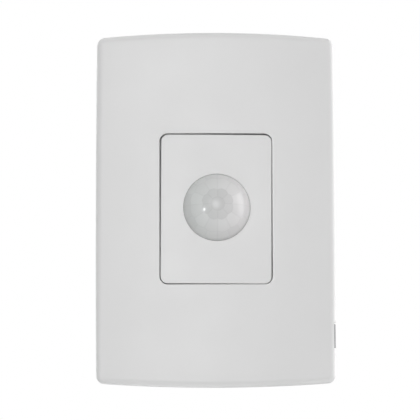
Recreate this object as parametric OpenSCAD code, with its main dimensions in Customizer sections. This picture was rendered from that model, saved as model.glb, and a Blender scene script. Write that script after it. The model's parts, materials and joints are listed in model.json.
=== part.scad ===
// Motion sensor light switch for a wall box.
// A bowed cover plate pushes onto a support frame that is screwed to the box. The sensor module
// latches into the frame and shows its face in the plate's window, with a domed lens in the middle.
// Everything is drawn lying on its back: x to the right, y up the wall, z out into the room, and
// z = 0 on the wall. stand() then turns it upright, so that the front faces -Y and +Z is up.

/* [Cover plate] */
// Width across the middle
plate_w = 80; // [78:0.5:84]
// Height on the centre line
plate_h = 118.4; // [117:0.2:124]
// How far the top and bottom edges bow outwards
end_bow = 1.45; // [0.6:0.05:2]
// How far the two sides bow outwards
side_bow = 0.3; // [0.1:0.05:0.8]
// Corner radius of the outline
plate_corner_r = 2.6; // [2:0.1:5]
// Height of the front face over the wall on the centre line
plate_depth = 9.5; // [9:0.1:12]
// How much lower the front face is at the two sides
plate_bulge = 3.4; // [1:0.1:3.6]
// Wall thickness
plate_wall = 2; // [1.4:0.1:2.2]
// Thickness of the rim round the window
rim_t = 1.2; // [0.8:0.1:1.8]
// Gap between the window and the face of the module
window_gap = 0.35; // [0.3:0.05:0.8]
// Diameter of the four posts that hold the plate on
post_d = 4; // [3:0.2:5]

/* [Pry tab] */
// Length of the tab along the side of the plate
pry_len = 8; // [5:0.5:12]
// Distance of the tab below the middle of the plate
pry_drop = 42.1; // [36:0.1:46]
// Thickness of the tab
pry_t = 1.2; // [0.8:0.1:1.6]
// How far the tab sticks out past the half width of the plate
pry_reach = 0.1; // [0:0.1:1.5]
// Depth of the notch in the side of the plate that bares the tab
pry_recess = 0.4; // [0.2:0.1:1]
// Gap between the tab and the plate
pry_gap = 0.4; // [0.3:0.1:0.8]

/* [Support frame] */
// How far the sides of the frame stay inside the sides of the plate
frame_inset_x = 7; // [5:0.1:8]
// How far the top and bottom of the frame stay inside those of the plate
frame_inset_y = 5.6; // [4.5:0.1:8]
// Thickness
frame_t = 2.2; // [2:0.1:2.6]
// Corner radius
frame_r = 4; // [2:0.5:8]
// Thickness of the stiffening rib round the edge
frame_rib_t = 1.4; // [1:0.1:2]
// Height of the stiffening rib over the frame
frame_rib_h = 2; // [1:0.1:2.2]
// Distance between the two box screws
box_pitch = 83.3; // [82:0.1:85]
// Width of the slots for the box screws
slot_w = 4.2; // [4:0.1:4.6]
// Length of the slots for the box screws
slot_len = 6.6; // [5.5:0.1:7]
// Distance of the sockets from the sides of the frame
socket_inset_x = 5.6; // [5.2:0.1:6.5]
// Distance of the sockets from the top and bottom of the frame
socket_inset_y = 6.4; // [5.2:0.1:8]
// Wall thickness of the sockets
socket_wall = 1.5; // [1:0.1:1.8]

/* [Box screws] */
// Diameter of the thread
box_screw_d = 3.5; // [3:0.1:3.6]
// Length of the thread behind the wall
box_screw_len = 20; // [12:0.5:24]
// Diameter of the head
box_screw_head_d = 7; // [6:0.1:8]
// Height of the head
box_screw_head_h = 2.2; // [1.8:0.1:2.6]

/* [Module housing] */
// Width of the face in the window
face_w = 36.8; // [35:0.2:38]
// Height of the face in the window
face_h = 49.6; // [48:0.1:51]
// Corner radius of the face
face_r = 2.3; // [1.9:0.1:4]
// Wall thickness of the face
face_wall = 1.6; // [1.2:0.1:2]
// Width of the rear case
case_w = 40; // [39:0.2:42]
// Height of the rear case
case_h = 66; // [65:0.2:68]
// Corner radius of the rear case
case_r = 2; // [1.8:0.1:3]
// Wall thickness of the rear case
case_wall = 1.6; // [1.2:0.1:1.8]
// Gap between the rear case and its opening in the frame
case_gap = 0.3; // [0.2:0.05:0.5]
// How far the flange laps over the rear case
flange_lap = 2; // [1.4:0.1:2.4]
// Thickness of the flange
flange_t = 1.5; // [1.2:0.1:1.8]
// Length of each latch that holds the module in the frame
latch_len = 14; // [10:0.5:18]
// How far each latch reaches over the frame
latch_reach = 1.2; // [0.8:0.1:1.5]
// Thickness of the frame where a latch grips it
latch_grip = 1.1; // [0.8:0.1:1.4]
// Diameter of the four screws that close the housing
case_screw_d = 2.6; // [2.2:0.1:3]

/* [Lens] */
// How far the lens lies above the middle of the face
lens_rise = 0.5; // [0:0.1:1]
// Diameter of the dome where it leaves the face
lens_d = 22.2; // [21:0.1:22.3]
// Radius of the dome
lens_r = 11.2; // [11.16:0.04:12]
// Wall thickness of the dome
lens_t = 0.7; // [0.5:0.1:1]
// Width of the lip that holds the lens behind the face
lens_lip_w = 1.6; // [1:0.1:2]
// Thickness of the lip
lens_lip_t = 1.1; // [0.8:0.1:1.4]
// Gap between the dome and its hole
lens_gap = 0.1; // [0.05:0.05:0.3]
// Thickness of the ring behind the lens
retainer_t = 1.5; // [1:0.1:1.8]

/* [Sensor board] */
// Thickness of both circuit boards
board_t = 1.2; // [1:0.1:1.6]
// Gap between a board and the walls of the rear case
board_gap = 0.3; // [0.2:0.05:0.6]
// Diameter of the infrared sensor's can
pir_d = 8.2; // [7.6:0.1:8.6]
// Height of the infrared sensor's can
pir_h = 4.2; // [3.8:0.1:4.4]
// Height of the spacer under the can
pir_spacer_h = 5.1; // [4.9:0.1:5.5]
// Diameter of the light cell
cell_d = 5; // [4:0.1:5.4]
// Side of the square base of a trimmer
trimmer_w = 6; // [5.4:0.1:6.4]
// Diameter of the dial of a trimmer
dial_d = 4.6; // [4:0.1:5]
// Distance between the two dials
dial_pitch = 13; // [11:0.5:16]

/* [Power board] */
// Width of the relay
relay_w = 15.5; // [14:0.1:16.5]
// Length of the relay
relay_l = 19; // [17:0.1:20]
// Height of the relay, the tallest piece on the board
relay_h = 15.3; // [14.6:0.1:16]
// Width of the mains dropper capacitor
dropper_w = 7; // [5:0.1:9]
// Length of the mains dropper capacitor
dropper_l = 15; // [13:0.1:18]
// Height of the mains dropper capacitor
dropper_h = 12.5; // [10:0.1:14]
// Diameter of the smoothing capacitor
smoothing_d = 10; // [8:0.1:11]
// Height of the smoothing capacitor
smoothing_h = 13; // [10:0.1:14]
// Diameter of the varistor disc
varistor_d = 9; // [7:0.1:11]
// Thickness of the varistor disc
varistor_t = 3.6; // [3:0.1:5]
// Diameter of the fuse
fuse_d = 8.4; // [7:0.1:9]
// Height of the fuse
fuse_h = 7.5; // [6:0.1:9]

/* [Terminals] */
// Distance between neighbouring poles
pole_pitch = 7.5; // [7:0.1:8]
// Diameter of the hole that a wire goes into
wire_d = 3.4; // [2.8:0.1:3.6]
// Travel of each clamp
clamp_travel = 2.2; // [1.5:0.1:2.6]
// Wall thickness of the clamp cages
cage_wall = 0.8; // [0.6:0.05:0.9]
// Length of the clamp cages along the wire
cage_l = 4.4; // [4:0.1:5]
// Thickness of the current bars
bar_t = 0.8; // [0.6:0.1:1]
// Diameter of the clamp screws
clamp_screw_d = 3; // [2.6:0.1:3.2]

/* [Hidden] */
$fn = 64;

// Cutters run past the faces that they open by this much
over = 1;
// Pieces that seat on each other without a fit keep this much air
seat_air = 0.2;
// Radial air round a screw in a clearance hole, and in the boss that it bites into
screw_air = 0.15;
thread_air = 0.05;

// Curve of the front face: a cylinder that runs up the wall
front_r = (pow(plate_w / 2, 2) + pow(plate_bulge, 2)) / (2 * plate_bulge);
function front_z(x, depth = 0) = plate_depth - front_r + sqrt(pow(front_r - depth, 2) - x * x);

// Window, and the rim that hangs behind it
window_w = face_w + 2 * window_gap;
window_h = face_h + 2 * window_gap;
window_r = face_r + window_gap;
flange_z = frame_t + flange_t;
rim_z = flange_z + seat_air;

// Posts of the plate and their sockets in the frame
frame_w = plate_w - 2 * frame_inset_x;
frame_h = plate_h - 2 * frame_inset_y;
post_x = frame_w / 2 - socket_inset_x;
post_y = frame_h / 2 - socket_inset_y;
post_air = 0.1;
socket_d = post_d + 2 * (post_air + socket_wall);
socket_floor = 0.8;
socket_top = front_z(post_x + socket_d / 2, plate_wall) - 2 * seat_air;

// The rib of the frame stays clear of the plate's bowed front
frame_rib_top = min(frame_t + frame_rib_h, front_z(frame_w / 2, plate_wall) - 2 * seat_air);

// Latches of the rear case, behind the frame
latch_slit = 0.8;
latch_arm = 12;
latch_hook_h = 2;

// Flange
case_open_w = case_w + 2 * case_gap;
case_open_h = case_h + 2 * case_gap;
flange_w = case_w + 2 * flange_lap;
flange_h = case_h + 2 * flange_lap;

// Lens: the centre of the dome lies behind the face, and its lip below a flat seat
lens_z = plate_depth - sqrt(pow(lens_r, 2) - pow(lens_d / 2, 2));
lens_hole_r = lens_r + lens_gap;
lens_lip_r = lens_r + lens_lip_w;
lens_seat_wall = 1;
lens_seat_r = lens_lip_r + lens_seat_wall;
lens_seat_z = front_z(lens_seat_r, face_wall) - seat_air;
lens_back_z = lens_seat_z - lens_lip_t;
retainer_step = 0.4;
retainer_in_r = lens_r - lens_t - retainer_step;
retainer_screw_d = 2;
retainer_boss_d = 4.6;
retainer_screw_y = lens_seat_r + retainer_boss_d / 2 + seat_air;
retainer_head_d = 3.8;
retainer_head_h = 1.3;

// Boards, counted back from the sensor, whose window sits at the centre of the dome
part_gap = 0.8;
sensor_z = lens_z - pir_h - pir_spacer_h;
power_z = sensor_z - board_t - relay_h - part_gap / 2;
power_back_z = power_z - board_t;
board_w = case_w - 2 * (case_wall + board_gap);
board_h = case_h - 2 * (case_wall + board_gap);
solder_gap = 1.3;
ledge_in_z = power_back_z - solder_gap;
ledge_z = ledge_in_z - case_wall;

// Screws that clamp the case, both boards and the bezel together
spacer_wall = 1.2;
spacer_d = case_screw_d + 2 * spacer_wall;
spacer_edge_x = 0.1;
spacer_edge_y = 0.5;
case_boss_wall = 1.3;
case_boss_d = case_screw_d + 2 * case_boss_wall;
case_screw_x = board_w / 2 - spacer_d / 2 - spacer_edge_x;
case_screw_y = board_h / 2 - spacer_d / 2 - spacer_edge_y;
case_screw_tip = frame_t - seat_air;
case_head_lap = 1;
case_head_d = case_screw_d + 2 * case_head_lap;
case_head_h = 1.8;
case_head_air = 0.3;
case_well_d = case_head_d + 2 * case_head_air;
case_well_wall = 1;

// Infrared sensor
pir_rim_w = 0.5;
pir_rim_t = 0.5;
pir_top_t = 0.4;
pir_window_w = 3.4;
pir_lead_d = 0.46;
pir_lead_r = 2.54;
pir_lead_air = 0.1;

// Light cell, beside the sensor and inside the ring of the retainer
cell_t = 2;
cell_leg = 2;
cell_y = -(pir_d / 2 + pir_rim_w + cell_d / 2 + part_gap / 2);

// Chip and small parts on the sensor board
chip_l = 9.9;
chip_w = 3.9;
chip_h = 1.5;
chip_pins = 8;
chip_leg = [0.42, 1.1, 0.6];
chip_pitch = 1.27;
chip_y = 14;
small_size = [2, 1.25, 0.6];
small_pitch = 4;
small_edge = 4;

// Trimmers, just below the face, so that the plate hides them
trimmer_h = 2.6;
trimmer_well = 1.2;
dial_air = 0.1;
dial_sunk = 0.3;
dial_z = flange_z - dial_sunk;
dial_slot = [3.2, 0.7, 0.8];
dial_hole_air = 0.4;
dial_hole_d = dial_d + 2 * dial_hole_air;
dial_y = -(board_h / 2 - trimmer_w / 2 - seat_air);

// Header between the boards
header_pins_n = 5;
header_pitch = 2.54;
header_strip = 2.5;
header_pin_w = 0.64;
header_pin_air = 0.05;

// Rows of pieces on the power board, packed down from the header
row_1 = case_screw_y - spacer_d / 2 - part_gap;
row_2 = row_1 - max(relay_l, dropper_l) - part_gap;
row_3 = row_2 - max(smoothing_d, varistor_t + part_gap + fuse_d) - part_gap;
diode_d = 2.7;
diode_l = 5.2;
resistor_d = 2.4;
resistor_l = 6.5;
axial_leg_w = 0.6;
row_4 = row_3 - max(diode_l, resistor_l) - part_gap;
transistor_d = 4.6;
transistor_h = 5;
transistor_flat = 1.2;
left_x = -(board_w / 2 - part_gap - relay_w / 2);
right_inset = 9.5;
right_x = board_w / 2 - right_inset;

// Terminals, stacked back from the ledge of the case: floor of the open cage, wire, current bar,
// tip of the screw, top of the cage, room for its travel, web under the head, head
wire_edge = 0.6;
wire_air = 0.1;
wire_room = wire_d + 2 * wire_air;
wire_z = ledge_z - wire_edge - wire_d / 2;
cage_floor_z = wire_z + wire_room / 2 + cage_wall;
bar_z = wire_z - wire_room / 2;
clamp_tip_z = bar_z - bar_t - seat_air;
cage_top_t = 1.4;
cage_top_z = clamp_tip_z - seat_air - cage_top_t;
web_t = 0.7;
web_z = cage_top_z - clamp_travel - seat_air;
clamp_head_z = web_z - web_t;
clamp_head_h = 1.4;
clamp_head_lap = 0.6;
clamp_head_d = clamp_screw_d + 2 * clamp_head_lap;
case_back_z = clamp_head_z - clamp_head_h - seat_air;
wire_wall = 1.4;
back_wall = 1.2;
side_wall = 0.8;
cage_air = 0.2;
leg_gap = 0.4;
block_y0 = -(case_h / 2 - case_wall) + seat_air;
cage_y0 = block_y0 + wire_wall + cage_air;
leg_y0 = cage_y0 + cage_l + leg_gap;
pocket_y1 = leg_y0 + bar_t + cage_air;
block_y1 = pocket_y1 + back_wall;
cage_w = pole_pitch - 2 * (side_wall + cage_air);
bar_w = cage_w - 2 * (cage_wall + cage_air);
step_gap = 0.5;
step_y = block_y1 + step_gap;
label_depth = 0.3;
label_w = case_w * 0.6;
label_h = (case_h / 2 - step_y) * 0.5;

// Helpers

// Turns the piece upright: out of the wall becomes -Y, and up the wall becomes +Z
module stand() {
    rotate([90, 0, 0]) children();
}

// Moves a piece from the middle of the face to the axis of the lens
module at_lens() {
    translate([0, lens_rise, 0]) children();
}

// Copies at the four corners of a rectangle with half sides x and y
module at_corners(x, y) {
    for (side = [-1, 1], end = [-1, 1]) translate([side * x, end * y, 0]) children();
}

module rounded_rect(w, h, r) {
    square([w - 2 * r, h], center = true);
    square([w, h - 2 * r], center = true);
    at_corners(w / 2 - r, h / 2 - r) circle(r);
}

module slab(w, h, r, z0, z1) {
    translate([0, 0, z0]) linear_extrude(z1 - z0) rounded_rect(w, h, r);
}

module rod(d, z0, z1) {
    translate([0, 0, z0]) cylinder(d = d, h = z1 - z0);
}

// A box between two opposite corners
module box(low, high) {
    translate(low) cube(high - low);
}

// Everything behind the front face, or behind a parallel face that lies deeper
module behind_front(depth = 0) {
    translate([0, 0, plate_depth - front_r]) rotate([90, 0, 0])
        cylinder(r = front_r - depth, h = 2 * plate_h, center = true, $fn = 256);
}

// Outline of the plate: a rectangle with round corners, bent outwards along all four edges
function corner(x, y, r, from) =
    [for (i = [0:6]) [x + r * cos(from + 15 * i), y + r * sin(from + 15 * i)]];
function between(a, b, n) = [for (i = [1:n - 1]) a + (b - a) * i / n];
function bowed(p) = [
    p.x * (1 - side_bow / (plate_w / 2) * pow(p.y / (plate_h / 2), 2)),
    p.y * (1 - end_bow / (plate_h / 2) * pow(p.x / (plate_w / 2), 2))
];
function plate_outline(inset) =
    let (
        x = plate_w / 2 - inset,
        y = plate_h / 2 - inset,
        r = max(plate_corner_r - inset, 0.6),
        path = concat(
            corner(x - r, y - r, r, 0), between([x - r, y], [r - x, y], 16),
            corner(r - x, y - r, r, 90), between([-x, y - r], [-x, r - y], 8),
            corner(r - x, r - y, r, 180), between([r - x, -y], [x - r, -y], 16),
            corner(x - r, r - y, r, 270), between([x, r - y], [x, y - r], 8)
        )
    )
    [for (p = path) bowed(p)];

// Cover and frame

// Half width of the plate at the height of the pry tab
pry_side_x = bowed([plate_w / 2, -pry_drop]).x;

module cover_plate() {
    color("whitesmoke") stand() difference() {
        union() {
            difference() {
                intersection() {
                    linear_extrude(plate_depth) polygon(plate_outline(0));
                    behind_front();
                }
                intersection() {
                    translate([0, 0, -over]) linear_extrude(plate_depth + over)
                        polygon(plate_outline(plate_wall));
                    behind_front(plate_wall);
                }
            }
            intersection() {
                slab(window_w + 2 * rim_t, window_h + 2 * rim_t, window_r + rim_t, rim_z, plate_depth);
                behind_front(plate_wall / 2);
            }
            intersection() {
                at_corners(post_x, post_y) rod(post_d, socket_floor + seat_air, plate_depth);
                behind_front(plate_wall / 2);
            }
        }
        slab(window_w, window_h, window_r, -over, plate_depth + over);
        for (notch = [[plate_w / 4, pry_t + pry_gap], [pry_side_x - pry_recess, plate_depth]])
            box(
                [notch[0], -pry_drop - pry_len / 2 - pry_gap, -over],
                [plate_w, -pry_drop + pry_len / 2 + pry_gap, notch[1]]
            );
    }
}

module support_frame() {
    color("gainsboro") stand() difference() {
        union() {
            slab(frame_w, frame_h, frame_r, 0, frame_t);
            difference() {
                slab(frame_w, frame_h, frame_r, frame_t / 2, frame_rib_top);
                slab(
                    frame_w - 2 * frame_rib_t, frame_h - 2 * frame_rib_t, frame_r - frame_rib_t,
                    -over, frame_rib_top + over
                );
            }
            at_corners(post_x, post_y) rod(socket_d, frame_t / 2, socket_top);
            box(
                [frame_w / 2 - frame_rib_t, -pry_drop - pry_len / 2, 0],
                [plate_w / 2 + pry_reach, -pry_drop + pry_len / 2, pry_t]
            );
        }
        slab(case_open_w, case_open_h, case_r + case_gap, -over, frame_t + over);
        at_corners(post_x, post_y) rod(post_d + 2 * post_air, socket_floor, socket_top + over);
        for (end = [-1, 1]) translate([0, end * box_pitch / 2, -over]) linear_extrude(frame_t + 2 * over) {
            square([slot_w, slot_len - slot_w], center = true);
            for (tip = [-1, 1]) translate([0, tip * (slot_len - slot_w) / 2]) circle(d = slot_w);
        }
        // room behind the frame for the latches of the case
        for (side = [-1, 1]) translate([side * case_open_w / 2, 0, (frame_t - latch_grip) / 2 - over / 2])
            cube([
                2 * (latch_reach + seat_air), latch_len + 2 * seat_air, frame_t - latch_grip + over
            ], center = true);
    }
}

module box_screws() {
    neck_d = slot_w - 2 * thread_air;
    neck_end = -0.4;
    tip_h = 1;
    slot_t = 1;
    color("silver") stand() for (end = [-1, 1]) translate([0, end * box_pitch / 2, 0]) difference() {
        union() {
            rod(box_screw_head_d, frame_t, frame_t + box_screw_head_h);
            rod(neck_d, neck_end, frame_t + over);
            rod(box_screw_d, -box_screw_len, neck_end + over / 2);
            translate([0, 0, -box_screw_len - tip_h])
                cylinder(d1 = box_screw_d - 2 * tip_h, d2 = box_screw_d, h = tip_h);
        }
        translate([0, 0, frame_t + box_screw_head_h])
            cube([box_screw_head_d + over, slot_t, box_screw_head_h], center = true);
    }
}

// Housing of the module

module module_bezel() {
    color("whitesmoke") stand() difference() {
        union() {
            difference() {
                union() {
                    intersection() {
                        slab(face_w, face_h, face_r, frame_t, plate_depth + over);
                        behind_front();
                    }
                    slab(flange_w, flange_h, case_r + flange_lap, frame_t, flange_z);
                }
                intersection() {
                    slab(
                        face_w - 2 * face_wall, face_h - 2 * face_wall, max(face_r - face_wall, 0.3),
                        frame_t - over, plate_depth
                    );
                    behind_front(face_wall);
                }
            }
            intersection() {
                at_lens() {
                    rod(2 * lens_seat_r, lens_seat_z, plate_depth);
                    for (end = [-1, 1]) translate([0, end * retainer_screw_y, 0])
                        rod(retainer_boss_d, lens_back_z, plate_depth);
                }
                behind_front(face_wall / 2);
            }
            at_corners(case_screw_x, case_screw_y) rod(case_boss_d, sensor_z, flange_z - flange_t / 2);
        }
        at_lens() {
            rod(2 * lens_hole_r, lens_seat_z - over, plate_depth + over);
            for (end = [-1, 1]) translate([0, end * retainer_screw_y, 0])
                rod(retainer_screw_d + 2 * thread_air, lens_back_z - over, lens_seat_z);
        }
        at_corners(case_screw_x, case_screw_y)
            rod(case_screw_d + 2 * thread_air, sensor_z - over, case_screw_tip + seat_air);
        for (side = [-1, 1]) translate([side * dial_pitch / 2, dial_y, 0])
            rod(dial_hole_d, frame_t - over, flange_z + over);
    }
}

module fresnel_lens() {
    color("gainsboro", 0.8) stand() at_lens() difference() {
        union() {
            intersection() {
                translate([0, 0, lens_z]) sphere(lens_r);
                rod(4 * lens_r, lens_back_z, lens_z + 2 * lens_r);
            }
            rod(2 * lens_lip_r, lens_back_z, lens_seat_z);
        }
        translate([0, 0, lens_z]) sphere(lens_r - lens_t);
    }
}

module lens_retainer() {
    color("white") stand() at_lens() difference() {
        translate([0, 0, lens_back_z - retainer_t]) linear_extrude(retainer_t) {
            circle(lens_lip_r);
            square([retainer_boss_d, 2 * retainer_screw_y], center = true);
            for (end = [-1, 1]) translate([0, end * retainer_screw_y]) circle(d = retainer_boss_d);
        }
        rod(2 * retainer_in_r, lens_back_z - retainer_t - over, lens_back_z + over);
        for (end = [-1, 1]) translate([0, end * retainer_screw_y, 0])
            rod(retainer_screw_d + 2 * screw_air, lens_back_z - retainer_t - over, lens_back_z + over);
    }
}

module retainer_screws() {
    seat = lens_back_z - retainer_t;
    color("silver") stand() at_lens() for (end = [-1, 1]) translate([0, end * retainer_screw_y, 0]) {
        rod(retainer_head_d, seat - retainer_head_h, seat);
        rod(retainer_screw_d, seat - retainer_head_h / 2, lens_seat_z - seat_air);
    }
}

module rear_case() {
    inner_w = case_w - 2 * case_wall;
    inner_h = case_h - 2 * case_wall;
    inner_r = max(case_r - case_wall, 0.3);
    color("gainsboro") stand() difference() {
        union() {
            difference() {
                slab(case_w, case_h, case_r, case_back_z, frame_t);
                slab(inner_w, inner_h, inner_r, ledge_in_z, frame_t + over);
                intersection() {
                    slab(inner_w, inner_h, inner_r, case_back_z + case_wall, frame_t);
                    box([-case_w, step_y + case_wall, case_back_z], [case_w, case_h, frame_t]);
                }
            }
            intersection() {
                at_corners(case_screw_x, case_screw_y)
                    rod(case_well_d + 2 * case_well_wall, case_back_z, power_back_z);
                slab(case_w - case_wall, case_h - case_wall, case_r, case_back_z, power_back_z);
            }
            for (side = [-1, 1]) translate([side * case_w / 2, 0, frame_t - latch_grip - latch_hook_h])
                latch_hook(side);
        }
        // the step that leaves the terminals open to the back
        box([-case_w, -case_h, case_back_z - over], [case_w, step_y, ledge_z]);
        box(
            [-1.5 * pole_pitch - seat_air, block_y0 - seat_air, ledge_z - over],
            [1.5 * pole_pitch + seat_air, block_y1 + seat_air, ledge_in_z + over]
        );
        at_corners(case_screw_x, case_screw_y) {
            rod(case_screw_d + 2 * screw_air, ledge_z - over, power_back_z + over);
            rod(case_well_d, case_back_z - over, ledge_z);
        }
        for (side = [-1, 1], edge = [-1, 1])
            translate([side * case_w / 2, edge * (latch_len + latch_slit) / 2, frame_t - latch_arm / 2])
                cube([3 * case_wall, latch_slit, latch_arm + over], center = true);
        // bare field for a rating label
        translate([0, (step_y + case_h / 2) / 2, case_back_z])
            cube([label_w, label_h, 2 * label_depth], center = true);
    }
}

// Wedge on the side of the case whose flat top grips the frame from behind
module latch_hook(side) {
    rotate([90, 0, 0]) linear_extrude(latch_len, center = true)
        polygon([
            [-side * case_wall / 2, 0], [0, 0], [side * (case_gap + latch_reach), latch_hook_h * 0.7],
            [side * (case_gap + latch_reach), latch_hook_h], [-side * case_wall / 2, latch_hook_h]
        ]);
}

module case_screws() {
    color("silver") stand() at_corners(case_screw_x, case_screw_y) difference() {
        union() {
            rod(case_head_d, ledge_z - case_head_h, ledge_z);
            rod(case_screw_d, ledge_z - case_head_h / 2, case_screw_tip);
        }
        for (turn = [0, 90]) rotate([0, 0, turn]) translate([0, 0, ledge_z - case_head_h])
            cube([case_head_d * 0.6, case_head_d * 0.16, case_head_h], center = true);
    }
}

// Boards and what they carry

module board_spacers() {
    color("ivory") stand() at_corners(case_screw_x, case_screw_y) difference() {
        rod(spacer_d, power_z, sensor_z - board_t);
        rod(case_screw_d + 2 * screw_air, power_z - over, sensor_z);
    }
}

module board(front) {
    difference() {
        slab(board_w, board_h, 1, front - board_t, front);
        at_corners(case_screw_x, case_screw_y)
            rod(case_screw_d + 2 * screw_air, front - board_t - over, front + over);
    }
}

module sensor_board() {
    color("seagreen") stand() board(sensor_z);
}

module power_board() {
    color("seagreen") stand() board(power_z);
}

// Three legs on the sensor's pin circle
module pir_legs(d, z0, z1) {
    for (turn = [45, 225, 315]) rotate([0, 0, turn]) translate([pir_lead_r, 0, 0]) rod(d, z0, z1);
}

module pir_spacer() {
    color("white") stand() at_lens() difference() {
        rod(pir_d + 2 * pir_rim_w, sensor_z, sensor_z + pir_spacer_h);
        pir_legs(pir_lead_d + 2 * pir_lead_air, sensor_z - over, sensor_z + pir_spacer_h + over);
    }
}

module pir_can() {
    base = sensor_z + pir_spacer_h;
    color("silver") stand() at_lens() difference() {
        union() {
            rod(pir_d + 2 * pir_rim_w, base, base + pir_rim_t);
            rod(pir_d, base, base + pir_h);
        }
        box(
            [-pir_window_w / 2, -pir_window_w / 2, base + pir_h - pir_top_t],
            [pir_window_w / 2, pir_window_w / 2, base + pir_h + over]
        );
    }
}

module pir_window() {
    top = sensor_z + pir_spacer_h + pir_h;
    half = pir_window_w / 2 - thread_air;
    color("dimgray") stand() at_lens() box([-half, -half, top - pir_top_t], [half, half, top]);
}

module pir_leads() {
    color("goldenrod") stand() at_lens() pir_legs(pir_lead_d, sensor_z, sensor_z + pir_spacer_h);
}

module light_cell() {
    color("tan") stand() at_lens() translate([0, cell_y, 0]) {
        rod(cell_d, sensor_z + cell_leg, sensor_z + cell_leg + cell_t);
        for (side = [-1, 1]) translate([side * cell_d / 4, 0, 0])
            rod(pir_lead_d, sensor_z, sensor_z + cell_leg + cell_t / 2);
    }
}

module signal_chip() {
    leg_root = 0.1;
    air = 0.1;
    color("dimgray") stand() translate([0, chip_y, sensor_z]) {
        translate([0, 0, air + chip_h / 2]) cube([chip_l, chip_w, chip_h], center = true);
        for (i = [0:chip_pins - 1], side = [-1, 1])
            translate([
                (i - (chip_pins - 1) / 2) * chip_pitch,
                side * ((chip_w + chip_leg.y) / 2 - leg_root),
                chip_leg.z / 2
            ])
                cube(chip_leg, center = true);
    }
}

module chip_components() {
    color("burlywood") stand() for (side = [-1, 1], i = [-2:2])
        translate([side * (board_w / 2 - small_edge), i * small_pitch, sensor_z + small_size.z / 2])
            cube(small_size, center = true);
}

module trimmer_base(side) {
    color("royalblue") stand() translate([side * dial_pitch / 2, dial_y, 0]) difference() {
        translate([0, 0, sensor_z + trimmer_h / 2]) cube([trimmer_w, trimmer_w, trimmer_h], center = true);
        rod(dial_d + 2 * dial_air, sensor_z + trimmer_h - trimmer_well, sensor_z + trimmer_h + over);
    }
}

module trimmer_dial(side) {
    color("white") stand() translate([side * dial_pitch / 2, dial_y, 0]) difference() {
        rod(dial_d, sensor_z + trimmer_h - trimmer_well + dial_air, dial_z);
        for (turn = [0, 90]) rotate([0, 0, turn]) translate([0, 0, dial_z])
            cube([dial_slot.x, dial_slot.y, 2 * dial_slot.z], center = true);
        // notch that shows where the dial points
        translate([0, dial_d / 2, dial_z]) cube([dial_slot.y, dial_slot.y, 2 * dial_slot.z], center = true);
    }
}

// Repeats along the header, one copy a pin
module header_row() {
    for (i = [0:header_pins_n - 1]) translate([(i - (header_pins_n - 1) / 2) * header_pitch, case_screw_y, 0])
        children();
}

module board_header() {
    hole = header_pin_w + 2 * header_pin_air;
    top = sensor_z - board_t;
    color("black") stand() difference() {
        union() for (z = [top - header_strip, power_z]) translate([0, case_screw_y, z + header_strip / 2])
            cube([header_pins_n * header_pitch, header_strip, header_strip], center = true);
        header_row() translate([0, 0, (top + power_z) / 2])
            cube([hole, hole, top - power_z + over], center = true);
    }
}

module header_pins() {
    color("gold") stand() header_row() translate([0, 0, (sensor_z - board_t + power_z) / 2])
        cube([header_pin_w, header_pin_w, sensor_z - board_t - power_z], center = true);
}

module relay() {
    color("steelblue") stand() translate([left_x, row_1 - relay_l / 2, 0])
        slab(relay_w, relay_l, 0.6, power_z, power_z + relay_h);
}

module dropper_capacitor() {
    color("goldenrod") stand() translate([right_x, row_1 - dropper_l / 2, 0])
        slab(dropper_w, dropper_l, 0.8, power_z, power_z + dropper_h);
}

module smoothing_capacitor() {
    groove = 0.4;
    groove_z = power_z + smoothing_h * 0.15;
    color("midnightblue") stand() translate([right_x, row_2 - smoothing_d / 2, 0]) difference() {
        rod(smoothing_d, power_z, power_z + smoothing_h);
        difference() {
            rod(smoothing_d + over, groove_z, groove_z + groove);
            rod(smoothing_d - 2 * groove, groove_z - over, groove_z + groove + over);
        }
    }
}

module surge_varistor() {
    leg = 1;
    leg_d = 0.8;
    color("teal") stand() translate([left_x, row_2 - varistor_t / 2, power_z]) {
        translate([0, 0, leg + varistor_d / 2]) rotate([90, 0, 0])
            cylinder(d = varistor_d, h = varistor_t, center = true);
        for (side = [-1, 1]) translate([side * varistor_d / 4, 0, 0]) rod(leg_d, 0, leg + varistor_d / 2);
    }
}

module fuse() {
    color("saddlebrown") stand() translate([left_x, row_2 - varistor_t - part_gap - fuse_d / 2, 0])
        rod(fuse_d, power_z, power_z + fuse_h);
}

// A round body lying along y, on two bent legs of flat wire
module axial_part(d, l) {
    translate([0, 0, power_z + d / 2]) rotate([90, 0, 0])
        cylinder(d = d, h = l - 4 * axial_leg_w, center = true);
    difference() {
        box([-axial_leg_w / 2, -l / 2, power_z], [axial_leg_w / 2, l / 2, power_z + (d + axial_leg_w) / 2]);
        box(
            [-axial_leg_w, axial_leg_w - l / 2, power_z - over],
            [axial_leg_w, l / 2 - axial_leg_w, power_z + (d - axial_leg_w) / 2]
        );
    }
}

module rectifier_diodes() {
    pitch = diode_d + part_gap / 2;
    color("black") stand() for (i = [-1.5:1.5])
        translate([right_x + i * pitch, row_3 - diode_l / 2, 0]) axial_part(diode_d, diode_l);
}

module power_resistors() {
    pitch = resistor_d + part_gap;
    color("tan") stand() for (i = [-1:1])
        translate([left_x + i * pitch, row_3 - resistor_l / 2, 0]) axial_part(resistor_d, resistor_l);
}

module driver_transistor() {
    color("black") stand() translate([0, row_4 - transistor_d / 2, 0]) intersection() {
        rod(transistor_d, power_z, power_z + transistor_h);
        box(
            [-transistor_d, -transistor_d, power_z - over],
            [transistor_d, transistor_flat, power_z + transistor_h + over]
        );
    }
}

// Terminals

function pole_x(pole) = (pole - 2) * pole_pitch;

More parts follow.
